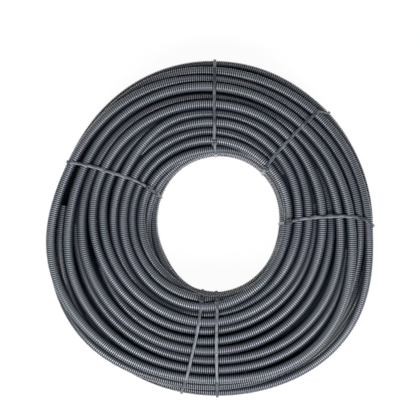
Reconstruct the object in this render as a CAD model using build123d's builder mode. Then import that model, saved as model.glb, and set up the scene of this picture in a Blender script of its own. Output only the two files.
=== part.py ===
from math import degrees, hypot, sqrt
import os

from build123d import *

# A coil of corrugated conduit, lying flat, bound by six cable ties.
# Millimetres. +Z is up. The origin is on the floor, on the axis of the coil.

# Conduit
tube_diameter = 16.0
tube_bore = 11.4
groove_depth = 1.8
rib_pitch = 3.5
rib_width = 1.9

# Winding: the turns that each row holds, from the floor up
row_turns = (7, 8, 9, 10, 9, 10, 9, 8, 7)
coil_bore = 230.0
turn_gap = 1.8
row_gap = 0.6
crest_width = 6.6
valley_depth = 3.4

# Free end of the conduit, in the outermost turn of the top row
end_angle = 171.5
end_gap_angle = 157.0
end_ribs = 6
end_clearance = 0.3
root_depth = 1.5

# Cable ties
tie_angles = (4.5, 46.0, 87.0, 151.5, 261.5, 274.0)
strap_width = 4.8
strap_thickness = 1.3
seat_gap = 0.3
head_length = 8.4
head_width = 8.0
head_height = 5.6
head_setback = 15.0
head_bevel = 0.7
window_clearance = 0.5
window_depth = 1.6
tail_thickness = 1.2
tail_width = 4.4
tail_stub = 1.2

# Sizes that follow from the ones above
tube_radius = tube_diameter / 2
groove_radius = tube_radius - groove_depth
turn_pitch = tube_diameter + turn_gap
half_pitch = turn_pitch / 2
row_rise = sqrt((tube_diameter + row_gap) ** 2 - half_pitch**2)
strap_reach = tube_radius + seat_gap
first_radius = coil_bore / 2 + tube_radius
first_height = strap_reach + strap_thickness
top_row = len(row_turns) - 1


def turn_centre(row, turn):
    """Centre of a turn in the half section: its radius and its height."""
    indent = (max(row_turns) - row_turns[row]) * half_pitch
    return first_radius + indent + turn * turn_pitch, first_height + row * row_rise


def row_ends(row):
    """Centres of the innermost and the outermost turn of a row."""
    return turn_centre(row, 0), turn_centre(row, row_turns[row] - 1)


def hull(points):
    """Corners of the convex outline round the points, anticlockwise."""

    def chain(sequence):
        kept = []
        for x, y in sequence:
            while len(kept) > 1:
                (ax, ay), (bx, by) = kept[-2:]
                if (bx - ax) * (y - ay) - (by - ay) * (x - ax) > 1e-6:
                    break
                kept.pop()
            kept.append((x, y))
        return kept[:-1]

    ordered = sorted(points)
    return chain(ordered) + chain(ordered[::-1])


hull_corners = hull([centre for row in range(top_row + 1) for centre in row_ends(row)])


def winding_outline(reach):
    """Corners of the outline at a distance from the outer turns' centres, its bends cut straight across."""
    corners = []
    for (x, y), (next_x, next_y) in zip(hull_corners, hull_corners[1:] + hull_corners[:1]):
        run = hypot(next_x - x, next_y - y)
        out_x = reach * (next_y - y) / run
        out_y = reach * (x - next_x) / run
        corners += [(x + out_x, y + out_y), (next_x + out_x, next_y + out_y)]
    return corners


# Half section of the coil, with a valley between each two turns of its two ends
with BuildSketch() as valley:
    with BuildLine():
        Polyline(
            ((crest_width - turn_pitch) / 2, 0),
            (0, -valley_depth),
            ((turn_pitch - crest_width) / 2, 0),
            close=True,
        )
    make_face()

with BuildSketch() as coil_section:
    with BuildLine():
        Polyline(*winding_outline(tube_radius), close=True)
    make_face()
    for row, side in ((top_row, 1), (0, -1)):
        for turn in range(row_turns[row] - 1):
            radius, height = turn_centre(row, turn)
            with Locations(Location((radius + half_pitch, height + side * tube_radius), 90 - side * 90)):
                add(valley.sketch, mode=Mode.SUBTRACT)

# The slot of the last turn: the space that is nearer to it than to its neighbours
end_radius, end_height = turn_centre(top_row, row_turns[top_row] - 1)
cell_slope = half_pitch / row_rise
cell_floor = end_height - (tube_radius + end_clearance) * (tube_diameter + row_gap) / row_rise
cell_reach = turn_pitch + tube_radius
cell_top = end_height + tube_diameter

with BuildSketch() as end_cell:
    with BuildLine():
        Polyline(
            (end_radius - half_pitch, cell_top),
            (end_radius - half_pitch, cell_floor + half_pitch * cell_slope),
            (end_radius, cell_floor),
            (end_radius + cell_reach, cell_floor + cell_reach * cell_slope),
            (end_radius + cell_reach, cell_top),
            close=True,
        )
    make_face()

# The free end is straight: a chord of its slot, which it leaves by as much at the middle as at its ends
end_length = end_ribs * rib_pitch
end_bow = end_length**2 / (16 * end_radius)
end_span = degrees(end_length / end_radius)
slot_span = end_angle + end_span - end_gap_angle
end_outward = Vector(1, 0, 0).rotate(Axis.Z, end_angle + end_span / 2)
end_along = end_outward.rotate(Axis.Z, 90)
end_plane = Plane(
    origin=end_outward * (end_radius - end_bow) + Vector(0, 0, end_height),
    x_dir=end_along,
    z_dir=end_outward,
)
wall_thickness = groove_radius - tube_bore / 2


# Conduit: the turned coil, its last turn's slot, and the free end that lies in it
with BuildPart() as conduit:
    with BuildSketch(Plane.XZ):
        add(coil_section.sketch)
    revolve(axis=Axis.Z)

    with BuildSketch(Plane.XZ.rotated((0, 0, end_gap_angle))):
        add(end_cell.sketch)
    revolve(axis=Axis.Z, revolution_arc=slot_span, mode=Mode.SUBTRACT)

    # The tube's wall at the bottom of its grooves, sunk into the solid turn, and its ribs
    with BuildSketch(end_plane):
        with Locations((-end_length / 2, tube_bore / 2)):
            Rectangle(end_length + root_depth, wall_thickness, align=Align.MIN)
        for rib in range(end_ribs):
            with Locations((rib * rib_pitch - end_length / 2, tube_bore / 2)):
                Rectangle(rib_width, wall_thickness + groove_depth, align=Align.MIN)
    revolve(axis=Axis(end_plane.origin, end_along))

conduit.part.label = "conduit"

# The shoulder that the heads lie on, from the top row's first turn down into the bore
shoulder = hull_corners.index(row_ends(top_row)[0])
shoulder_top = Vector(*hull_corners[shoulder])
shoulder_foot = Vector(*hull_corners[(shoulder + 1) % len(hull_corners)])
down_shoulder = (shoulder_foot - shoulder_top).normalized()
off_shoulder = Vector(down_shoulder.Y, -down_shoulder.X)
head_seat = shoulder_top + down_shoulder * head_setback + off_shoulder * strap_reach
head_base = Plane(
    origin=(head_seat.X, 0, head_seat.Y),
    x_dir=(down_shoulder.X, 0, down_shoulder.Y),
    z_dir=(off_shoulder.X, 0, off_shoulder.Y),
)


# Cable tie: the closed strap, its head, and the cut tail that stands in the head's window
with BuildPart() as cable_tie:
    with BuildSketch(Plane.XZ):
        with BuildLine():
            Polyline(*winding_outline(strap_reach + strap_thickness), close=True)
        make_face()
        with BuildLine():
            Polyline(*winding_outline(strap_reach), close=True)
        make_face(mode=Mode.SUBTRACT)
    extrude(amount=strap_width / 2, both=True)

    with BuildSketch(head_base):
        Rectangle(head_length, head_width)
    extrude(amount=head_height)
    head_top = cable_tie.faces().sort_by(Axis((0, 0, 0), head_base.z_dir))[-1]
    chamfer(head_top.edges(), head_bevel)

    with BuildSketch(head_base.offset(head_height)):
        Rectangle(tail_thickness + 2 * window_clearance, tail_width + 2 * window_clearance)
    extrude(amount=-window_depth, mode=Mode.SUBTRACT)

    with BuildSketch(head_base.offset(head_height - window_depth)):
        Rectangle(tail_thickness, tail_width)
    extrude(amount=window_depth + tail_stub)

os.makedirs("parts", exist_ok=True)
export_step(conduit.part, "parts/conduit.step")
for number, angle in enumerate(tie_angles, start=1):
    tie = cable_tie.part.rotate(Axis.Z, angle)
    tie.label = f"tie_{number}"
    export_step(tie, f"parts/tie_{number}.step")
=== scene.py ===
"""A coil of black corrugated conduit, bound by six cable ties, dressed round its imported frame."""

import logging
import math
from dataclasses import dataclass, field
from enum import Enum

import bpy
import numpy as np
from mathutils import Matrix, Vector, geometry

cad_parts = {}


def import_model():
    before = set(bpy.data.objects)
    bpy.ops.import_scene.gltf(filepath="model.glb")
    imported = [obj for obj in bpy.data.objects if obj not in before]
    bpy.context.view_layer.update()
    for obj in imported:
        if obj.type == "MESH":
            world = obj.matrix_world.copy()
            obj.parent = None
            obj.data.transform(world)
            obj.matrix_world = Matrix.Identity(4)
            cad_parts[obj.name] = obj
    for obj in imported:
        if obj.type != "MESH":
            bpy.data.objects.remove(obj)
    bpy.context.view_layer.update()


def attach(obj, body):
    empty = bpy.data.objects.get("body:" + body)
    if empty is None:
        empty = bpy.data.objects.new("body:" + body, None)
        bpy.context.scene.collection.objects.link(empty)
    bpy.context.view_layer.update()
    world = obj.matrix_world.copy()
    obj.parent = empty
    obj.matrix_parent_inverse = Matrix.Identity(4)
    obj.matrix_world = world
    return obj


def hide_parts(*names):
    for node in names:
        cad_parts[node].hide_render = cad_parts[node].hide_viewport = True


LOG = logging.getLogger("conduit coil")
MM = 0.001
FULL_TURN = 360.0
Array = np.ndarray
Piece = bpy.types.Object
Pair = tuple[float, float]
Colour = tuple[float, float, float, float]


class Cover(Enum):
    """How closely a stretch of tube can be seen, and so how finely its ribs are made."""

    HIDDEN = 0
    PARTLY = 1
    OPEN = 2


@dataclass(frozen=True)
class Tube:
    """Sizes of the corrugated tube, in millimetres."""

    diameter: float = 16.0
    bore: float = 11.4
    groove_depth: float = 1.8
    rib_pitch: float = 3.5
    rib_width: float = 1.9
    open_depth: float = 42.0

    @property
    def radius(self) -> float:
        """Outer radius, over the ribs."""
        return self.diameter / 2

    @property
    def groove_radius(self) -> float:
        """Outer radius at the bottom of a groove."""
        return self.radius - self.groove_depth


@dataclass(frozen=True)
class Pile:
    """Sizes of the coil's section, in millimetres, as its frame has them."""

    row_turns: tuple[int, ...] = (7, 8, 9, 10, 9, 10, 9, 8, 7)
    coil_bore: float = 230.0
    outer_radius: float = 291.0
    turn_pitch: float = 17.8
    row_rise: float = 14.012
    first_height: float = 9.6
    end_angle: float = 171.5

    @property
    def turns(self) -> int:
        """Turns in the whole coil."""
        return sum(self.row_turns)

    @property
    def top_height(self) -> float:
        """Height of the top row's centres."""
        return self.first_height + (len(self.row_turns) - 1) * self.row_rise


@dataclass(frozen=True)
class Lap:
    """One time round the coil of its visible top turns, counted from the free end.

    Each mark is an angle in degrees, the radius in millimetres at which the turn is seen from above, and, where it
    lies under the top, how many rows.
    """

    name: str
    marks: tuple[tuple[float, ...], ...]


TOP_LAPS = (
    Lap("free end and loose outer turn", (
        (171.5, 252, 0.6), (185, 256, 0.8), (200, 264, 0.9), (215, 271, 1.4), (230, 275, 1.5), (245, 276, 1.7),
        (260, 274, 1.9), (274, 274, 1.9), (285, 280, 1.6), (295, 290, 1.2), (305, 297, 0.8), (315, 300, 0.7),
        (325, 299, 0.7), (335, 292, 0.7), (345, 281, 0.7), (353, 274, 0.8))),
    Lap("over the outer edge, under the next turn", (
        (0, 269, 0.8), (24, 268, 0.8), (48, 266, 0.7), (66, 265, 0.7), (88, 266, 0.8), (108, 268, 1.1),
        (130, 259, 1.5), (150, 252, 1.7), (171, 259, 1.6), (190, 274, 1.4), (202, 280, 1.2), (216, 283, 1.1),
        (230, 280, 1.1), (242, 274, 1), (260, 271, 0.9), (274, 271, 0.9), (290, 276, 1), (304, 280, 1.1),
        (318, 276, 1.1), (330, 269, 0.9), (342, 262, 0.7))),
    Lap("outermost top turn", (
        (0, 258, 0.5), (24, 255, 0.4), (48, 249, 0.3), (66, 250, 0.2), (88, 253, 0.2), (120, 258, 0.3),
        (144, 258, 0.4), (155, 256, 0.5), (168, 261, 0.4), (180, 272, 0.4), (192, 279, 0.4), (205, 278, 0.3),
        (220, 273, 0.2), (240, 266, 0.2), (260, 261, 0.2), (274, 261, 0.2), (290, 268, 0.2), (306, 278, 0.2),
        (320, 274), (332, 264), (344, 250))),
    Lap("second turn, which dives at the right", (
        (0, 241), (24, 237), (48, 234), (66, 236), (88, 241), (120, 244), (144, 240), (155, 236), (170, 237),
        (180, 240, 0.1), (192, 248, 0.1), (204, 251, 0.1), (228, 250, 0.1), (260, 245, 0.1), (274, 245, 0.1),
        (300, 254, 0.1), (312, 256, 0.1), (324, 252, 0.3), (336, 246, 0.6), (345, 241, 1))),
    Lap("under the second turn, out again at the left", (
        (0, 237, 1.3), (60, 230, 1.2), (120, 234, 1.2), (170, 228, 1), (185, 227, 0.6), (200, 229, 0.3),
        (228, 229, 0.1), (260, 228), (274, 228), (300, 237), (315, 238), (335, 234))),
    Lap("third turn", (
        (0, 224), (24, 220), (48, 217), (66, 218), (88, 222), (108, 225), (120, 226), (150, 221), (180, 219),
        (204, 218), (228, 216), (260, 213), (274, 213), (300, 215), (330, 212, 0.1))),
    Lap("dives at the right, out again at the top left", (
        (0, 208, 0.3), (15, 209, 0.7), (25, 210, 1), (45, 207, 1.4), (80, 203, 1.2), (115, 198, 0.8),
        (125, 197, 0.4), (144, 193, 0.1), (180, 182), (204, 171), (228, 165), (260, 160), (274, 160), (300, 159),
        (330, 164))),
    Lap("high turn across the top", (
        (0, 168), (24, 177), (48, 189), (66, 196), (88, 198), (108, 193), (120, 188), (136, 176), (150, 169, 0.1),
        (180, 162, 0.3), (204, 158, 0.5), (228, 155, 0.6), (260, 153, 0.7), (274, 151, 0.6), (300, 147, 0.4),
        (324, 146, 0.2))),
    Lap("inner turn, which dives at the upper left", (
        (0, 150, 0.2), (24, 161, 0.1), (48, 173, 0.1), (66, 179, 0.1), (88, 182, 0.1), (120, 176, 0.3),
        (135, 171, 0.8), (150, 166, 1.3), (180, 156, 1.4), (270, 143, 1.3))),
    Lap("out again beside the bore", (
        (0, 142, 1.3), (24, 154, 0.9), (34, 157, 0.5), (48, 160, 0.3), (66, 165, 0.3), (88, 167, 0.3),
        (120, 163, 0.3), (150, 156, 0.3), (180, 149, 0.3), (204, 144, 0.3), (228, 140, 0.4), (260, 136, 0.4),
        (274, 135, 0.5), (290, 131, 0.5), (310, 128, 0.5), (330, 129, 0.5))),
    Lap("along the bore's edge", (
        (0, 135, 0.5), (24, 142, 0.5), (48, 145, 0.5), (66, 149, 0.5), (88, 149, 0.5), (120, 147, 0.6),
        (150, 140, 0.6), (180, 133, 0.7), (204, 128, 0.7), (228, 125, 0.8), (260, 124, 0.9), (280, 123, 1.1))),
    Lap("beside the bore, then back under the middle", (
        (0, 124, 1.5), (70, 132, 1.3), (110, 130, 1.2), (140, 126, 1.1), (165, 121, 1.1), (190, 116, 1.1),
        (210, 114, 1.2), (235, 113, 1.4), (255, 112, 1.6), (300, 125, 1.9), (345, 148, 1.7))),
    Lap("out again at the lower left", (
        (80, 177, 1.3), (140, 190, 1.3), (180, 195, 1), (202, 197, 0.5), (228, 200, 0.2), (240, 201, 0.1),
        (260, 198), (274, 196), (320, 195))),
    Lap("fourth turn", (
        (0, 192), (24, 198), (48, 204), (66, 207), (88, 209), (120, 208), (150, 205), (180, 200), (192, 195),
        (204, 189), (228, 183), (260, 179), (274, 177), (320, 176, 0.1))),
    Lap("dives at the right for good", (
        (0, 179, 0.5), (20, 184, 0.9), (40, 190, 1.4), (160, 170, 1.5), (240, 158, 1.7), (290, 148, 2),
        (330, 143, 2.2))),
    Lap("down the bore's wall", (
        (10, 139, 2.2), (45, 136, 2.2), (90, 128, 2.1), (160, 108, 2.2))),
)


@dataclass(frozen=True)
class Dent:
    """A place where the coil's outside or its bore is pushed in or out, in degrees and millimetres."""

    angle: float
    spread: float
    rise: float

    def at(self, degrees: Array) -> Array:
        """Rise at some angles."""
        return self.rise * np.exp(-((turned_from(self.angle, degrees) / self.spread) ** 2))


@dataclass
class Aims:
    """Where each point of the path would like to be, how strongly, and whether the coil's outside holds it in."""

    radius: Array
    height: Array
    radius_pull: Array
    height_pull: Array
    held: Array


@dataclass
class Winding:
    """The whole tube as one path from its free end, kept as radius and height in millimetres on even planes."""

    tube: Tube
    pile: Pile
    tie_angles: tuple[float, ...]
    planes: int = 48
    rounds: int = 420
    seed: int = 7
    slack: float = 0.4

    # The bore's outline, not quite round or centred, and the outside's
    bore_shift: Pair = (19.0, 4.6)
    bore_squeeze: float = 7.5
    squeeze_angle: float = -4.0
    bore_ripple: float = 2.0
    ripple_angle: float = 150.0
    inner_mean: float = 115.0
    dents: tuple[Dent, ...] = (Dent(156, 33, -16), Dent(8, 16, -5), Dent(72, 22, 3), Dent(212, 24, 5),
                               Dent(272, 15, -10), Dent(312, 23, 16))
    bore_dent: Dent = Dent(284, 15, -2.5)

    # How the top turns are drawn to their marks, the deeper ones less
    mark_pull: float = 0.55
    mark_lift: float = 0.08
    fade_end: float = 1.30
    fade_rows: float = 0.5
    least_share: float = 0.30
    deepest_mark: float = 3.0
    seen_from: float = 1500.0

    # The rows below: the share of a turn that a step sideways takes, and how the turns waver
    row_pull: float = 0.03
    step: float = 0.22
    step_margin: float = 0.02
    waver: Pair = (1.6, 1.2)
    waver_run: float = 60.0

    # How the turns settle: each pull drops to a share after some part of the rounds
    radius_release: Pair = (0.85, 0.3)
    height_release: Pair = (0.6, 0.25)
    sinking: float = 0.12
    straightening: float = 0.25
    pushes: int = 3
    crowding: float = 0.45
    crown: float = 5.0
    tie_reach: float = 9.0
    loose_reach: float = 60.0

    # How many free directions make a turn open, or partly so, from above and from below
    looks: int = 16
    lowest_look: float = -0.3
    open_from: float = 1.6
    partly_from: Pair = (0.15, 0.3)

    travel: Array = field(init=False)
    radius: Array = field(init=False)
    height: Array = field(init=False)

    def __post_init__(self) -> None:
        """Sets the path's angles and where each point would like to be, and lets it settle."""
        count = self.planes * self.pile.turns
        self.travel = self.pile.end_angle + FULL_TURN * np.arange(count) / self.planes
        aims = self._aims()
        self.radius, self.height = aims.radius.copy(), aims.height.copy()
        self._settle(aims)

    def inner_edge(self, degrees: Array) -> Array:
        """Radius of the bore."""
        angle = np.radians(degrees)
        shift_x, shift_y = self.bore_shift
        return (self.inner_mean + shift_x * np.cos(angle) + shift_y * np.sin(angle)
                - self.bore_squeeze * np.cos(2 * (angle - math.radians(self.squeeze_angle)))
                + self.bore_ripple * np.cos(3 * (angle - math.radians(self.ripple_angle)))
                + self.bore_dent.at(degrees))

    def outer_edge(self, degrees: Array) -> Array:
        """Radius of the outside."""
        return self.pile.outer_radius + sum(dent.at(degrees) for dent in self.dents)

    def _aims(self) -> Aims:
        """Where each point would like to be: at the marks in the top turns, and in wound rows below."""
        count = len(self.travel)
        marks = np.array([(lap * FULL_TURN + angle, radius, sum(rows))
                          for lap, turn in enumerate(TOP_LAPS) for angle, radius, *rows in turn.marks])
        first = int(marks[-1, 0] // FULL_TURN)
        shown = np.arange(count) < first * self.planes
        aims = Aims(*np.zeros((2, count)), *np.full((2, count), self.row_pull), ~shown)
        sink = eased(self.travel[shown], marks[:, 0], marks[:, 2])
        depth = np.clip(sink, 0.0, self.deepest_mark) * self.pile.row_rise
        aims.radius[shown] = eased(self.travel[shown], marks[:, 0], marks[:, 1]) * (1 + depth / self.seen_from)
        aims.height[shown] = self.pile.top_height - depth
        fade = np.clip((self.fade_end - sink) / self.fade_rows, self.least_share, 1.0)
        aims.radius_pull[shown] = self.mark_pull * fade
        aims.height_pull[shown] = self.mark_lift
        self._wind_rows(aims, first)
        return aims

    def _wind_rows(self, aims: Aims, first: int) -> None:
        """Winds the rows under the top two, each from side to side, with one step sideways a turn.

        Args:
            aims: Aims of the path, filled in from the first wound turn on.
            first: Number of the first wound turn.
        """
        chance = np.random.default_rng(self.seed)
        seats = []
        for count_back, row in enumerate(range(len(self.pile.row_turns) - 3, -1, -1)):
            turns = self.pile.row_turns[row]
            indent = (max(self.pile.row_turns) - turns) * self.pile.turn_pitch / 2
            radii = self.pile.coil_bore / 2 + self.tube.radius + indent + self.pile.turn_pitch * np.arange(turns)
            seats += [(radius, self.pile.first_height + row * self.pile.row_rise)
                      for radius in (radii[::-1] if count_back % 2 else radii)]
        seats.append((2 * seats[-1][0] - seats[-2][0], seats[-1][1]))
        starts = np.linspace(1 - self.step - self.step_margin, self.step_margin, len(seats) - 1)
        share = np.arange(self.planes) / self.planes
        inner_nominal = self.pile.coil_bore / 2
        for number, (seat, after) in enumerate(zip(seats[:-1], seats[1:])):
            part = slice((first + number) * self.planes, (first + number + 1) * self.planes)
            ease = smooth_step((share - starts[number]) / self.step)
            radius = seat[0] + (after[0] - seat[0]) * ease
            across = (radius - self.tube.radius - inner_nominal) / (
                self.pile.outer_radius - 2 * self.tube.radius - inner_nominal)
            low = self.inner_edge(self.travel[part]) + self.tube.radius
            high = self.outer_edge(self.travel[part]) - self.tube.radius
            aims.radius[part] = low + across * (high - low)
            aims.height[part] = seat[1] + (after[1] - seat[1]) * ease
        count = int(self.pile.turns * FULL_TURN / self.waver_run) + 2
        knots = self.pile.end_angle + self.waver_run * np.arange(count)
        wound = slice(first * self.planes, None)
        for aim, waver in zip((aims.radius, aims.height), self.waver):
            aim[wound] += np.interp(self.travel[wound], knots, chance.normal(0, waver, count))

    def _settle(self, aims: Aims) -> None:
        """Lets the turns sink, straighten and push each other apart until they only touch."""
        low = self.inner_edge(self.travel) + self.tube.radius
        high = np.where(aims.held, self.outer_edge(self.travel) - self.tube.radius,
                        self.pile.outer_radius + self.loose_reach)
        from_tie = np.min([np.abs(turned_from(angle, self.travel)) for angle in self.tie_angles], axis=0)
        ceiling = self.pile.top_height + self.crown * (1 - np.exp(-((from_tie / self.tie_reach) ** 2)))
        touch = self.tube.diameter + self.slack
        own = np.arange(self.pile.turns)
        for done in np.arange(self.rounds) / self.rounds:
            for line, aim, pull, (until, share) in (
                    (self.radius, aims.radius, aims.radius_pull, self.radius_release),
                    (self.height, aims.height, aims.height_pull, self.height_release)):
                line += pull * (1.0 if done < until else share) * (aim - line)
            self.height -= self.sinking
            for line in (self.radius, self.height):
                line[1:-1] += self.straightening * (0.5 * (line[:-2] + line[2:]) - line[1:-1])
            for _ in range(self.pushes):
                gap_r, gap_z = self._gaps()
                square = gap_r * gap_r + gap_z * gap_z
                near = square < touch * touch
                near[own, own, :] = False
                distance = np.sqrt(np.where(near, square, 1.0)) + 1e-6
                push = np.where(near, (touch - distance) * 0.5 / distance, 0.0)
                shared = np.maximum(1.0, near.sum(1) * self.crowding)
                self.radius += ((push * gap_r).sum(1) / shared).ravel()
                self.height += ((push * gap_z).sum(1) / shared).ravel()
                self.height = np.clip(self.height, self.pile.first_height, ceiling)
                self.radius = np.clip(self.radius, low, high)
        for line in (self.radius, self.height):
            line[1:-1] = (line[:-2] + 2 * line[1:-1] + line[2:]) / 4

    def _gaps(self) -> tuple[Array, Array]:
        """Steps outwards and upwards to each turn from each other turn, on each plane."""
        grids = (line.reshape(self.pile.turns, self.planes) for line in (self.radius, self.height))
        across, up = (grid[:, None, :] - grid[None, :, :] for grid in grids)
        return across, up

    def points(self) -> Array:
        """The path's points in metres."""
        angle = np.radians(self.travel)
        return np.column_stack((self.radius * np.cos(angle), self.radius * np.sin(angle), self.height)) * MM

    def section(self, degrees: Array) -> tuple[Array, Array]:
        """Radius and height of every turn, each where it passes its own angle.

        Args:
            degrees: One angle for each turn.

        Returns:
            Radii and heights in millimetres.
        """
        start = (degrees - self.pile.end_angle) % FULL_TURN + self.pile.end_angle
        place = start + FULL_TURN * np.arange(self.pile.turns)
        return np.interp(place, self.travel, self.radius), np.interp(place, self.travel, self.height)

    def open_shares(self, directions: int) -> Array:
        """How much of the tube's width is free of other turns, at each point and in each direction round it.

        Args:
            directions: How many even directions are looked in, from straight away from the axis on, upwards.

        Returns:
            Shares from 0 to 1, points by directions.
        """
        gap_r, gap_z = (-gap for gap in self._gaps())
        other = ~np.eye(self.pile.turns, dtype=bool)[:, :, None]
        reach = self.tube.radius
        shares = np.empty((len(self.travel), directions))
        for step in range(directions):
            angle = math.tau * step / directions
            ahead = gap_r * math.cos(angle) + gap_z * math.sin(angle)
            aside = gap_z * math.cos(angle) - gap_r * math.sin(angle)
            blocks = (ahead > 0) & other
            over = np.where(blocks & (aside >= 0), aside - reach, reach).min(axis=1)
            under = np.where(blocks & (aside < 0), aside + reach, -reach).max(axis=1)
            shares[:, step] = np.clip((over - under) / (2 * reach), 0.0, 1.0).ravel()
        return shares

    def covers(self) -> Array:
        """How closely each point of the path can be seen, as numbers of Cover."""
        shares = self.open_shares(self.looks)
        down = np.sin(math.tau * np.arange(self.looks) / self.looks) < self.lowest_look
        from_above, from_below = shares[:, ~down].sum(axis=1), shares[:, down].sum(axis=1)
        partly = (from_above > self.partly_from[0]) | (from_below > self.partly_from[1])
        seen = np.where(from_above > self.open_from, Cover.OPEN.value,
                        np.where(partly, Cover.PARTLY.value, Cover.HIDDEN.value))
        wide = seen.copy()
        wide[1:] = np.maximum(wide[1:], seen[:-1])
        wide[:-1] = np.maximum(wide[:-1], seen[1:])
        return wide


def turned_from(start: float, degrees: Array) -> Array:
    """How far some angles are turned from one, by up to half a turn either way."""
    return (degrees - start + FULL_TURN / 2) % FULL_TURN - FULL_TURN / 2


def unit(rows: Array) -> Array:
    """The rows' directions, each of length 1."""
    return rows / np.linalg.norm(rows, axis=1)[:, None]


def ring_faces(rings: int, corners: int, closed: bool) -> Array:
    """Corners of the faces between rings, each and the next, and the last and the first where it is closed."""
    here = np.arange(rings if closed else rings - 1)[:, None] * corners
    there = (here + corners) % (rings * corners)
    spot = np.arange(corners)[None, :]
    after = (spot + 1) % corners
    return np.stack((here + spot, there + spot, there + after, here + after), axis=2).reshape(-1, 4)


def smooth_step(share: Array) -> Array:
    """Eases a share from 0 to 1."""
    share = np.clip(share, 0.0, 1.0)
    return share * share * (3 - 2 * share)


def eased(place: Array, stops: Array, values: Array) -> Array:
    """Values at some places on the smooth curve through the stops."""
    left = np.clip(np.searchsorted(stops, place) - 1, 0, len(stops) - 2)
    slope = np.gradient(values, stops)
    run = stops[left + 1] - stops[left]
    share = np.clip((place - stops[left]) / run, 0.0, 1.0)
    square, cube = share**2, share**3
    return ((2 * cube - 3 * square + 1) * values[left] + (cube - 2 * square + share) * slope[left] * run
            + (3 * square - 2 * cube) * values[left + 1] + (cube - square) * slope[left + 1] * run)


class Value:
    """A number in a material, whose arithmetic adds the nodes that work it out."""

    def __init__(self, shader: "Shader", socket: bpy.types.NodeSocket) -> None:
        """Keeps the output socket that carries the number."""
        self.shader = shader
        self.socket = socket

    def math(self, operation: str, *others: object) -> "Value":
        """Adds one Math node on this number and the others."""
        return self.shader.node("ShaderNodeMath", {"operation": operation}, dict(enumerate((self, *others))), 0)

    def __add__(self, other: object) -> "Value":
        """Sum."""
        return self.math("ADD", other)

    __radd__ = __add__

    def __sub__(self, other: object) -> "Value":
        """Difference."""
        return self.math("SUBTRACT", other)

    def __rsub__(self, other: object) -> "Value":
        """Difference from a number that comes first."""
        return self.shader.node("ShaderNodeMath", {"operation": "SUBTRACT"}, {0: other, 1: self}, 0)

    def __mul__(self, other: object) -> "Value":
        """Product."""
        return self.math("MULTIPLY", other)

    __rmul__ = __mul__

    def smooth(self, low: float, high: float) -> "Value":
        """0 below low, 1 above high, eased between."""
        return self.shader.node("ShaderNodeMapRange", {"interpolation_type": "SMOOTHSTEP"},
                                {0: self, 1: low, 2: high, 3: 0.0, 4: 1.0}, 0)


class Shader:
    """The nodes of one material."""

    def __init__(self, name: str, settings: dict[str, object], kind: str = "ShaderNodeBsdfPrincipled") -> None:
        """Makes the material and its surface shader.

        Args:
            name: The material's name.
            settings: What is the same all over, by the shader's socket.
            kind: The surface shader's type.
        """
        self.material = bpy.data.materials.new(name)
        self.material.use_nodes = True
        self.tree = self.material.node_tree
        self.tree.nodes.clear()
        self.surface = self.tree.nodes.new(kind)
        output = self.tree.nodes.new("ShaderNodeOutputMaterial")
        self.tree.links.new(self.surface.outputs[0], output.inputs["Surface"])
        for socket, value in settings.items():
            self.surface.inputs[socket].default_value = value

    def node(self, kind: str, settings: dict[str, object], inputs: dict[object, object], out: object) -> Value:
        """Adds any node.

        Args:
            kind: The node's type.
            settings: Its own settings, set before its sockets.
            inputs: A value or a link for each socket that isn't left alone.
            out: The output to go on with.

        Returns:
            That output.
        """
        made = self.tree.nodes.new(kind)
        for name, value in settings.items():
            setattr(made, name, value)
        for key, value in inputs.items():
            if isinstance(value, Value):
                self.tree.links.new(value.socket, made.inputs[key])
            else:
                made.inputs[key].default_value = value
        return Value(self, made.outputs[out])

    def to_surface(self, socket: str | int, value: Value) -> None:
        """Links what varies to one of the surface's sockets."""
        self.tree.links.new(value.socket, self.surface.inputs[socket])

    def noise(self, where: Value, scale: float, detail: float) -> Value:
        """Noise from 0 to 1 at a place."""
        return self.node("ShaderNodeTexNoise", {}, {"Vector": where, "Scale": scale, "Detail": detail}, 0)

    def blend(self, share: object, first: object, second: object) -> Value:
        """A colour between two."""
        return self.node("ShaderNodeMix", {"data_type": "RGBA"}, {0: share, 6: first, 7: second}, 2)

    def raised(self, height: Value, distance: float, strength: float, under: Value | None = None) -> Value:
        """A normal for a relief, on top of another where there is one."""
        inputs: dict[object, object] = {"Strength": strength, "Distance": distance, "Height": height}
        if under is not None:
            inputs["Normal"] = under
        return self.node("ShaderNodeBump", {}, inputs, 0)


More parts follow.
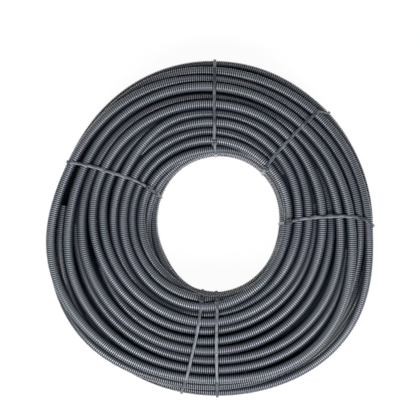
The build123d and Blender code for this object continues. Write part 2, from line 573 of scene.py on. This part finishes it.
@dataclass(frozen=True)
class BlackPlastic:
    """Satin black plastic: glossier on rib crests, with shade painted near black into the gaps between turns and into
    the grooves.
    """

    # Painted shade: the colour laid into the gaps between turns, where other turns close the air round the tube.
    gap_shade: Colour = (0.014, 0.018, 0.029, 1.0)
    violet: Colour = (0.092, 0.096, 0.122, 1.0)
    green: Colour = (0.081, 0.098, 0.114, 1.0)
    # Painted shade: the colour laid into the grooves between the ribs.
    groove: Colour = (0.003, 0.005, 0.010, 1.0)
    groove_edge: Pair = (0.25, 0.34)
    hue_edge: Pair = (0.35, 0.65)
    cloud_scale: float = 26.0
    hue_scale: float = 17.0
    grain_scale: float = 900.0
    grain_height: float = 0.00006
    roughness: float = 0.40
    coat: float = 0.80
    # Power on how open the air is, which sets how quickly the painted shade closes in towards the gaps.
    gap_shade_power: float = 1.8
    seam_half_width: float = 0.010
    seam_height: float = 0.00045

    def material(self, around: str, tone: str, shade_attribute: str) -> bpy.types.Material:
        """Makes the material.

        Args:
            around: The UV map that runs round and along the tube.
            tone: The attribute that holds each stretch's tone.
            shade_attribute: The attribute that holds how open the air is round each point.
        """
        shader = Shader("conduit_black_plastic", {"Specular IOR Level": 0.15, "Coat IOR": 1.60, "Coat Roughness": 0.40})
        place = shader.node("ShaderNodeTexCoord", {}, {}, "Object")
        unrolled = shader.node("ShaderNodeUVMap", {"uv_map": around}, {}, 0)
        round_tube, along_tube = (shader.node("ShaderNodeSeparateXYZ", {}, {0: unrolled}, axis) for axis in (0, 1))
        own_tone, opened = (shader.node("ShaderNodeAttribute", {"attribute_name": name}, {}, "Fac")
                            for name in (tone, shade_attribute))
        cloud = shader.noise(place, self.cloud_scale, 4.0)
        # Painted shade: where other turns close the air round the tube, the plastic goes to the gap colour; tone and
        # cloud vary it at random.
        painted_shade_and_tone = opened.math("POWER", self.gap_shade_power) * (0.74 + own_tone * 0.26 + cloud * 0.24)
        in_groove = (along_tube.math("FRACT") - 0.5).math("ABSOLUTE").smooth(*self.groove_edge)
        hue = shader.noise(place, self.hue_scale, 1.0).smooth(*self.hue_edge)
        plastic_hue = shader.blend(hue, self.violet, self.green)
        colour = shader.blend(painted_shade_and_tone, self.gap_shade, plastic_hue)
        # Painted shade: the grooves between the ribs are coloured near black.
        shader.to_surface("Base Color", shader.blend(in_groove, colour, self.groove))
        shader.to_surface("Coat Weight", (1.0 - in_groove) * (self.coat + cloud * 0.2))
        shader.to_surface("Roughness", self.roughness + cloud * 0.08 + in_groove * 0.30)
        seam = ((round_tube * 2.0).math("FRACT") - 0.5).math("ABSOLUTE")
        ridge = 1.0 - seam.smooth(0.0, self.seam_half_width * 2)
        grain = shader.raised(shader.noise(place, self.grain_scale, 2.0), self.grain_height, 0.5)
        shader.to_surface("Normal", shader.raised(ridge, self.seam_height, 0.9, grain))
        return shader.material


@dataclass(frozen=True)
class GreyNylon:
    """Satin grey nylon of the ties, lighter where it is bent and handled."""

    base: Colour = (0.024, 0.031, 0.038, 1.0)
    pale: Colour = (0.080, 0.094, 0.108, 1.0)
    pale_edge: Pair = (0.35, 0.75)
    roughness: float = 0.28
    cloud_scale: float = 90.0
    grain_scale: float = 1400.0
    grain_height: float = 0.00003

    def material(self) -> bpy.types.Material:
        """Makes the material."""
        shader = Shader("tie_grey_nylon", {"Specular IOR Level": 0.3})
        place = shader.node("ShaderNodeTexCoord", {}, {}, "Object")
        cloud = shader.noise(place, self.cloud_scale, 4.0)
        shader.to_surface("Base Color", shader.blend(cloud.smooth(*self.pale_edge), self.base, self.pale))
        shader.to_surface("Roughness", self.roughness + cloud * 0.14)
        shader.to_surface("Normal", shader.raised(shader.noise(place, self.grain_scale, 2.0), self.grain_height, 0.15))
        return shader.material


@dataclass(frozen=True)
class WhiteFloor:
    """Plain white floor that goes to the photograph's white, and keeps the coil's shadow."""

    colour: Colour = (0.96, 0.96, 0.96, 1.0)
    to_white: float = 0.95

    def material(self) -> bpy.types.Material:
        """Makes the material."""
        shader = Shader("white_floor", {}, "ShaderNodeMixShader")
        camera_ray = shader.node("ShaderNodeLightPath", {}, {}, "Is Camera Ray")
        paint = shader.node("ShaderNodeBsdfDiffuse", {}, {"Color": self.colour}, 0)
        glow = shader.node("ShaderNodeEmission", {}, {}, 0)
        for socket, value in enumerate((camera_ray * self.to_white, paint, glow)):
            shader.to_surface(socket, value)
        return shader.material


@dataclass
class Rings:
    """Rings that skin the tube: how far along it each is, in millimetres, its centre and its two directions.

    Each also has its radius in metres, the plastic's tone, how open the air is at each of its corners, and the
    turns by which the mould seam has wandered.
    """

    where: Array
    centres: Array
    side: Array
    up: Array
    radii: Array
    tones: Array
    opened: Array
    twist: Array

    def taken(self, order: slice | list[int]) -> "Rings":
        """Some of the rings, in the order that is given."""
        return Rings(*(rows[order] for rows in vars(self).values()))


@dataclass
class Conduit:
    """The corrugated tube, swept along the settled path in lengths that are each one piece."""

    tube: Tube
    winding: Winding
    around: str = "around"
    tone: str = "tone"
    # The attribute from which the plastic's painted shade in the gaps between turns is made.
    shade_attribute: str = "open"
    sides: int = 10
    curve_steps: int = 8
    plain_step: float = 24.0
    plain_inset: float = 0.4
    piece_triangles: int = 185000
    tone_run: float = 700.0
    twist_run: float = 2600.0
    shade_share_power: int = 4
    seed: int = 23

    def _stations(self, kinds: Array) -> tuple[Array, Array]:
        """Where the rings stand that make the ribs, and the few where the tube is hidden.

        Args:
            kinds: How each pitch of the tube is covered.

        Returns:
            Places along the tube in millimetres, and radii in metres.
        """
        pitch, crest, groove = self.tube.rib_pitch, self.tube.radius, self.tube.groove_radius
        middle, half = pitch / 2, self.tube.rib_width / 2
        ribs = {Cover.OPEN.value: ((0.0, groove), (middle - half, crest), (middle + half, crest)),
                Cover.PARTLY.value: ((0.0, groove), (middle, crest))}
        stations: list[Pair] = []
        since = 0.0
        for number, kind in enumerate(kinds):
            start = number * pitch
            if kind == Cover.HIDDEN.value:
                since += pitch
                if since >= self.plain_step:
                    stations.append((start, crest - self.plain_inset))
                    since = 0.0
                continue
            since = self.plain_step
            stations += [(start + along, radius) for along, radius in ribs[int(kind)]]
        stations.append((len(kinds) * pitch, groove))
        where, radii = np.array(stations).T
        return where, radii * MM

    def line(self) -> Array:
        """Points of the route's own smooth spline, in metres."""
        data = bpy.data.curves.new("conduit_route", "CURVE")
        data.dimensions = "3D"
        data.resolution_u = self.curve_steps
        spline = data.splines.new("NURBS")
        route = self.winding.points()
        spline.points.add(len(route) - 1)
        spline.points.foreach_set("co", np.column_stack((route, np.ones(len(route)))).ravel())
        spline.order_u = 3
        spline.use_endpoint_u = True
        holder = bpy.data.objects.new("conduit_route", data)
        mesh = bpy.data.meshes.new_from_object(holder)
        flat = np.empty(len(mesh.vertices) * 3)
        mesh.vertices.foreach_get("co", flat)
        bpy.data.objects.remove(holder)
        bpy.data.curves.remove(data)
        bpy.data.meshes.remove(mesh)
        return flat.reshape(-1, 3)

    def _rings(self, line: Array, run: Array) -> Rings:
        """Works out the rings of the whole tube.

        Args:
            line: Points along the tube, in metres.
            run: How far along the tube each of them is, in millimetres.

        Returns:
            The rings in order from the free end.
        """
        covers = self.winding.covers()

        def on_path(along: Array) -> Array:
            """Numbers on the winding's path, with fractions, of places along the tube."""
            share = np.interp(along, run, np.linspace(0, 1, len(run)))
            return np.interp(share, np.linspace(0, 1, len(covers)), np.arange(len(covers)))

        middles = (np.arange(int(run[-1] / self.tube.rib_pitch)) + 0.5) * self.tube.rib_pitch
        kinds = covers[np.rint(on_path(middles)).astype(int)]
        where, radii = self._stations(kinds)
        LOG.info("conduit: %.2f m, %d rings, ribs %s", run[-1] * MM, len(where),
                 {kind.name: int((kinds == kind.value).sum()) for kind in Cover})
        centres, ahead = (np.column_stack([np.interp(where, run, rows[:, axis]) for axis in range(3)])
                          for rows in (line, unit(np.gradient(line, axis=0))))
        ahead = unit(ahead)
        side = unit(np.cross(ahead, (0.0, 0.0, 1.0)))
        place = on_path(where)
        low = np.minimum(place.astype(int), len(covers) - 2)
        # How open the air is at each corner, to a power: the plastic paints shade into the gaps from it.
        shares = self.winding.open_shares(self.sides) ** self.shade_share_power
        opened = shares[low] + (place - low)[:, None] * (shares[low + 1] - shares[low])
        chance = np.random.default_rng(self.seed)
        knots = np.linspace(0, run[-1], int(run[-1] / self.tone_run))
        tones = np.interp(where, knots, chance.uniform(0, 1, len(knots)))
        wander = np.cumsum(chance.normal(0.0, self.tone_run / self.twist_run, len(knots)))
        return Rings(where, centres, side, np.cross(side, ahead), radii, tones, opened,
                     np.interp(where, knots, wander))

    def build(self) -> list[Piece]:
        """Makes the conduit's pieces, each a length of the one tube.

        Returns:
            The pieces in order from the free end.
        """
        line = self.line()
        steps = np.linalg.norm(np.diff(line, axis=0), axis=1)
        run = np.concatenate(([0.0], np.cumsum(steps))) / MM
        rings = self._rings(line, run)
        where, centres = rings.where, rings.centres
        lengths = math.ceil(len(where) / (self.piece_triangles // (2 * self.sides)))
        cuts = np.linspace(0, len(where) - 1, lengths + 1).astype(int)
        pieces = []
        for number, (first, last) in enumerate(zip(cuts[:-1], cuts[1:]), start=1):
            pieces.append(self._skin(f"conduit_{number}", rings.taken(slice(first, last + 1)),
                                     number == 1, number == lengths))
            covered = (run >= where[first]) & (run <= where[last])
            float(where[last] - where[first]) * MM
        return pieces

    def _skin(self, name: str, rings: Rings, is_first: bool, is_last: bool) -> Piece:
        """Skins one length of the tube.

        Args:
            name: The piece's name.
            rings: Its rings.
            is_first: Whether the tube's own first end is here, which is hollow.
            is_last: The same for its last end.

        Returns:
            The piece.
        """
        last, depth = len(rings.where) - 1, self.tube.open_depth
        order, bored = list(range(last + 1)), [False] * (last + 1)
        if is_first:
            order = [int(np.searchsorted(rings.where, rings.where[0] + depth)), 0, *order]
            bored = [True, True, *bored]
        if is_last:
            order += [last, int(np.searchsorted(rings.where, rings.where[last] - depth))]
            bored += [True, True]
        rings = rings.taken(order)
        rings.radii[bored] = self.tube.bore / 2 * MM
        # The hollow ends count as closed, so the plastic is painted near black there as shade.
        rings.opened[bored] = 0.0

        count, sides = len(order), self.sides
        angle = math.tau * np.arange(sides) / sides
        spokes = (np.cos(angle)[None, :, None] * rings.side[:, None, :]
                  + np.sin(angle)[None, :, None] * rings.up[:, None, :])
        verts = (rings.centres[:, None, :] + rings.radii[:, None, None] * spokes).reshape(-1, 3)
        caps = [list(range(sides)), list(range((count - 1) * sides, count * sides))[::-1]]
        mesh = bpy.data.meshes.new(name)
        mesh.from_pydata(verts.tolist(), [], ring_faces(count, sides, False).tolist() + caps)

        along = rings.where / self.tube.rib_pitch
        turned = (np.arange(sides)[None, :, None] + np.array((0, 0, 1, 1))) / sides
        drift, length = (np.stack((row[:-1], row[1:], row[1:], row[:-1]), axis=1)[:, None, :]
                         for row in (rings.twist, along - math.floor(along[0])))
        uv = np.stack(np.broadcast_arrays(turned + drift, length), axis=3).reshape(-1, 2)
        uv = np.vstack((uv, np.zeros((2 * sides, 2))))
        mesh.uv_layers.new(name=self.around).data.foreach_set("uv", uv.ravel())
        for attribute, values in ((self.tone, np.repeat(rings.tones, sides)), (self.shade_attribute, rings.opened.ravel())):
            mesh.attributes.new(attribute, "FLOAT", "POINT").data.foreach_set("value", values)
        mesh.polygons.foreach_set("use_smooth", np.arange(len(mesh.polygons)) < (count - 1) * sides)
        ends = np.empty(len(mesh.edges) * 2, dtype=np.int32)
        mesh.edges.foreach_get("vertices", ends)
        ends = ends.reshape(-1, 2) // sides
        crease = mesh.attributes.new("sharp_edge", "BOOLEAN", "EDGE")
        crease.data.foreach_set("value", ends[:, 0] == ends[:, 1])
        return placed(name, mesh)


@dataclass(frozen=True)
class TieRoute:
    """How one tie crosses the coil's top, from the bore out, and its head's radius, in millimetres and degrees."""

    node: str
    head_radius: float
    marks: tuple[Pair, ...]
    straight_to: float = 35.0
    turning: float = 45.0

    @property
    def middle(self) -> float:
        """The angle that most of the tie lies at."""
        return float(np.median([angle for _, angle in self.marks]))

    def angle(self, radius: Array, height: Array) -> Array:
        """The tie's angle in degrees at some places of its outline: as marked on top, straight across below."""
        stops, turned = np.array(self.marks).T
        on_top = eased(np.clip(radius, stops[0], stops[-1]), stops, turned)
        below = np.interp(radius, stops[[0, -1]], turned[[0, -1]])
        return below + smooth_step((height - self.straight_to) / self.turning) * (on_top - below)


TIE_ROUTES = (
    TieRoute("tie_1", 137.0, (
        (117, 1.8), (134, 3.6), (150, 4.7), (175, 5.2), (204, 5), (230, 4.6), (252, 3.7), (268, 2.6), (280, 0.4))),
    TieRoute("tie_2", 140.0, (
        (128, 44.2), (142, 46.2), (158, 47.3), (187, 47.7), (221, 47.5), (258, 47), (274, 46.2), (284, 43.6))),
    TieRoute("tie_3", 145.0, (
        (126, 84.9), (136, 86), (148, 86.8), (170, 87), (195, 87.5), (255, 88), (285, 88.1))),
    TieRoute("tie_4", 124.0, (
        (98, 149), (108, 148), (122, 147.4), (145, 147.7), (170, 149.4), (190, 150.8), (221, 152.5),
        (243, 153.8), (258, 154.8), (270, 155.4))),
    TieRoute("tie_5", 126.0, (
        (108, 264.4), (127, 264), (145, 263.9), (170, 263.6), (195, 263), (221, 262.3), (246, 261.8),
        (272, 261), (286, 260.5))),
    TieRoute("tie_6", 129.0, (
        (110, 276.3), (122, 276.2), (133, 275.8), (150, 275), (170, 274.2), (195, 273.6), (221, 273.2),
        (255, 272.9), (284, 272.7))),
)


@dataclass
class CableTie:
    """One cable tie: its strap round the turns, its head, and the cut tail in the head's window."""

    route: TieRoute
    winding: Winding
    strap_width: float = 4.8
    strap_thickness: float = 1.3
    strap_edge: float = 0.35
    strap_slope: float = 1.1
    seat_gap: float = 0.3
    tooth: float = 1.5
    tooth_depth: float = 0.3
    hull_step: int = 6
    head_length: float = 8.4
    head_width: float = 8.0
    head_height: float = 5.6
    head_bevel: float = 0.7
    window_wall: float = 1.9
    window_depth: float = 1.7
    tail_thickness: float = 1.2
    tail_width: float = 4.4
    tail_stub: float = 2.6
    tail_bevel: float = 0.25
    bore_side: float = 190.0
    least_rise: float = 0.15

    def _outline(self) -> Array:
        """Radius and height round the strap's middle, in millimetres, closed, from the bore over the top."""
        guess = np.full(self.winding.pile.turns, self.route.middle)
        for _ in range(3):
            radius, height = self.winding.section(guess)
            guess = self.route.angle(radius, height)
        reach = self.winding.tube.radius + self.seat_gap + self.strap_thickness / 2
        bends = np.radians(np.arange(0, 360, self.hull_step))
        cloud = np.concatenate([
            np.column_stack((radius + reach * math.cos(bend), height + reach * math.sin(bend))) for bend in bends])
        hull = cloud[geometry.convex_hull_2d(cloud.tolist())]
        hull = np.roll(hull, -int(np.lexsort(hull.T[::-1])[0]), axis=0)
        closed = np.vstack((hull, hull[:1]))
        run = np.concatenate(([0.0], np.cumsum(np.linalg.norm(np.diff(closed, axis=0), axis=1))))
        even = np.linspace(0, run[-1], int(run[-1] / self.tooth), endpoint=False)
        return np.column_stack((np.interp(even, run, closed[:, 0]), np.interp(even, run, closed[:, 1])))

    def _frame(self) -> Array:
        """Centres of the strap's rings in metres, and at each its outward, sideways and forward directions."""
        outline = self._outline()
        angle = np.radians(self.route.angle(outline[:, 0], outline[:, 1]))
        centres = np.column_stack((outline[:, 0] * np.cos(angle), outline[:, 0] * np.sin(angle), outline[:, 1])) * MM
        ahead = np.roll(centres, -1, axis=0) - np.roll(centres, 1, axis=0)
        for _ in range(3):
            ahead = (np.roll(ahead, -1, axis=0) + 2 * ahead + np.roll(ahead, 1, axis=0)) / 4
        ahead = unit(ahead)
        round_axis = np.array((-math.sin(angle.mean()), math.cos(angle.mean()), 0.0))
        side = unit(round_axis - (ahead @ round_axis)[:, None] * ahead)
        outward = np.cross(side, ahead)
        if ((centres - centres.mean(axis=0)) * outward).sum() < 0:
            outward = -outward
        return np.stack((centres, outward, side, ahead))

    def build(self) -> Piece:
        """Makes the tie as one piece.

        Returns:
            The piece.
        """
        frame = self._frame()
        strap = self._strap(frame)
        radii = np.hypot(frame[0, :, 0], frame[0, :, 1]) / MM
        may_hold = (frame[1, :, 2] > self.least_rise) & (radii < self.bore_side)
        seat = int(np.argmin(np.where(may_hold, np.abs(radii - self.route.head_radius), np.inf)))
        return join([strap, *self._head(frame[:, seat])], self.route.node.replace("tie", "cable_tie"))

    def _strap(self, frame: Array) -> Piece:
        """Skins the strap: sloped edges outside, and a ladder of teeth inside."""
        centres, outward, side, _ = frame
        wide, thick = self.strap_width / 2, self.strap_thickness / 2
        edge, slope = self.strap_edge, self.strap_slope
        profile = MM * np.array((
            (-wide, -thick + edge), (-wide, 0.0), (-wide + slope, thick), (wide - slope, thick), (wide, 0.0),
            (wide, -thick + edge), (wide - 2 * edge, -thick), (-wide + 2 * edge, -thick)))
        rings, corners = len(centres), len(profile)
        shape = np.broadcast_to(profile, (rings, corners, 2)).copy()
        shape[::2, 6:, 1] += self.tooth_depth * MM
        verts = (centres[:, None, :] + shape[:, :, :1] * side[:, None, :] + shape[:, :, 1:] * outward[:, None, :])
        mesh = bpy.data.meshes.new("strap")
        mesh.from_pydata(verts.reshape(-1, 3).tolist(), [], ring_faces(rings, corners, True).tolist())
        piece = placed("strap", mesh)
        recalculate(piece)
        return piece

    def _head(self, seat: Array) -> list[Piece]:
        """Makes the head with its window, and the tail that is cut off short above it.

        Args:
            seat: Middle of the strap where the head sits, and the outward, sideways and forward directions there.

        Returns:
            The head and the tail.
        """
        head = block(self.head_length, self.head_width, self.head_height)
        edit_top(head)
        bpy.ops.mesh.inset(thickness=self.window_wall * MM, depth=0.0)
        bpy.ops.mesh.extrude_region_move(TRANSFORM_OT_translate={"value": (0, 0, -self.window_depth * MM)})
        bpy.ops.object.mode_set(mode="OBJECT")
        round_edges(head, self.head_bevel, 3)
        tail = block(self.tail_thickness, self.tail_width, self.head_height + self.tail_stub)
        round_edges(tail, self.tail_bevel, 2)
        middle, outward, side, ahead = (Vector(row) for row in seat)
        base = middle - outward * self.strap_thickness / 2 * MM
        for piece in (head, tail):
            for vertex in piece.data.vertices:
                vertex.co = base + ahead * vertex.co.x + side * vertex.co.y + outward * vertex.co.z
            recalculate(piece)
        return [head, tail]


def placed(name: str, data: bpy.types.ID) -> Piece:
    """Puts some data in the scene as an object."""
    made = bpy.data.objects.new(name, data)
    bpy.context.scene.collection.objects.link(made)
    return made


def block(length: float, width: float, height: float) -> Piece:
    """Makes a block that stands on the origin, its sizes in millimetres."""
    deselect()
    bpy.ops.mesh.primitive_cube_add(size=1.0, location=(0, 0, height / 2 * MM),
                                    scale=(length * MM, width * MM, height * MM))
    bpy.ops.object.transform_apply()
    return bpy.context.object


def round_edges(piece: Piece, width: float, segments: int) -> None:
    """Bevels the active piece's edges, by a width in millimetres."""
    bevel = piece.modifiers.new("edges", "BEVEL")
    bevel.width = width * MM
    bevel.segments = segments
    bevel.limit_method = "ANGLE"
    bpy.ops.object.modifier_apply(modifier=bevel.name)


def deselect() -> None:
    """Leaves nothing selected."""
    bpy.ops.object.select_all(action="DESELECT")


def edit_top(piece: Piece) -> None:
    """Goes into edit mode with a block's top face selected."""
    bpy.ops.object.mode_set(mode="EDIT")
    bpy.ops.mesh.select_all(action="DESELECT")
    bpy.ops.object.mode_set(mode="OBJECT")
    for face in piece.data.polygons:
        face.select = face.normal.z > 0.5
    bpy.ops.object.mode_set(mode="EDIT")
    bpy.ops.mesh.select_mode(type="FACE")


def recalculate(piece: Piece) -> None:
    """Turns all of a piece's faces outwards."""
    deselect()
    piece.select_set(True)
    bpy.context.view_layer.objects.active = piece
    bpy.ops.object.mode_set(mode="EDIT")
    bpy.ops.mesh.select_all(action="SELECT")
    bpy.ops.mesh.normals_make_consistent()
    bpy.ops.object.mode_set(mode="OBJECT")


def join(parts: list[Piece], name: str) -> Piece:
    """Joins some objects into one piece, smooth except at its edges."""
    deselect()
    for part in parts:
        part.select_set(True)
    bpy.context.view_layer.objects.active = parts[0]
    bpy.ops.object.join()
    piece = bpy.context.object
    piece.name = piece.data.name = name
    bpy.ops.object.shade_smooth_by_angle(angle=math.radians(35))
    return piece


@dataclass
class Studio:
    """White floor, soft lamps and the camera straight above, where the photograph was taken from."""

    photo_width: float = 0.714
    distance: float = 1.5
    picture_height: float = 0.13
    aim: Pair = (0.0012, 0.0292)
    floor_size: float = 40.0
    lamps: tuple[tuple[float, float, float, float], ...] = (
        (-0.62, -0.80, 1.50, 37.0), (0.66, -0.78, 1.50, 35.0), (0.05, 0.95, 1.25, 4.0))
    lamp_size: float = 0.6
    lamp_aim: float = 0.1
    sensor_width: float = 36.0
    clip_start: float = 0.01
    world_level: float = 0.22

    def build(self) -> None:
        """Makes the floor, the lamps, the world and the camera."""
        deselect()
        bpy.ops.mesh.primitive_plane_add(size=self.floor_size, location=(0, 0, 0))
        floor = bpy.context.object
        floor.name = "floor"
        floor.data.materials.append(WhiteFloor().material())

        world = bpy.data.worlds.new("studio")
        world.use_nodes = True
        background = world.node_tree.nodes["Background"]
        background.inputs["Color"].default_value = (1, 1, 1, 1)
        background.inputs["Strength"].default_value = self.world_level
        bpy.context.scene.world = world

        for *place, power in self.lamps:
            data = bpy.data.lights.new("soft_lamp", "AREA")
            data.shape = "DISK"
            data.size = self.lamp_size
            data.energy = power
            lamp = placed("soft_lamp", data)
            lamp.location = place
            lamp.rotation_euler = (Vector((0, 0, self.lamp_aim)) - Vector(place)).to_track_quat("-Z", "Y").to_euler()

        data = bpy.data.cameras.new("camera")
        data.sensor_width = self.sensor_width
        data.lens = self.sensor_width * self.distance / self.photo_width
        data.clip_start = self.clip_start
        camera = placed("camera", data)
        camera.location = (*self.aim, self.picture_height + self.distance)
        bpy.context.scene.camera = camera


def main() -> None:
    """Builds and dresses the coil."""
    logging.basicConfig(level=logging.INFO, format="%(message)s")
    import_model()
    bpy.context.scene.view_settings.view_transform = "Standard"
    Studio().build()

    LOG.info("top turns: %s", "; ".join(lap.name for lap in TOP_LAPS))
    winding = Winding(Tube(), Pile(), tuple(route.middle for route in TIE_ROUTES))
    conduit = Conduit(winding.tube, winding)
    plastic = BlackPlastic().material(conduit.around, conduit.tone, conduit.shade_attribute)
    for piece in conduit.build():
        piece.data.materials.append(plastic)
        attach(piece, "root")
        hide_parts("conduit")
        LOG.info("%s: %d faces", piece.name, len(piece.data.polygons))

    nylon = GreyNylon().material()
    for route in TIE_ROUTES:
        piece = CableTie(route, winding).build()
        piece.data.materials.clear()
        piece.data.materials.append(nylon)
        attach(piece, "root")
        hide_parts(route.node)
        LOG.info("%s: %d faces", piece.name, len(piece.data.polygons))


if __name__ == "__main__":
    main()
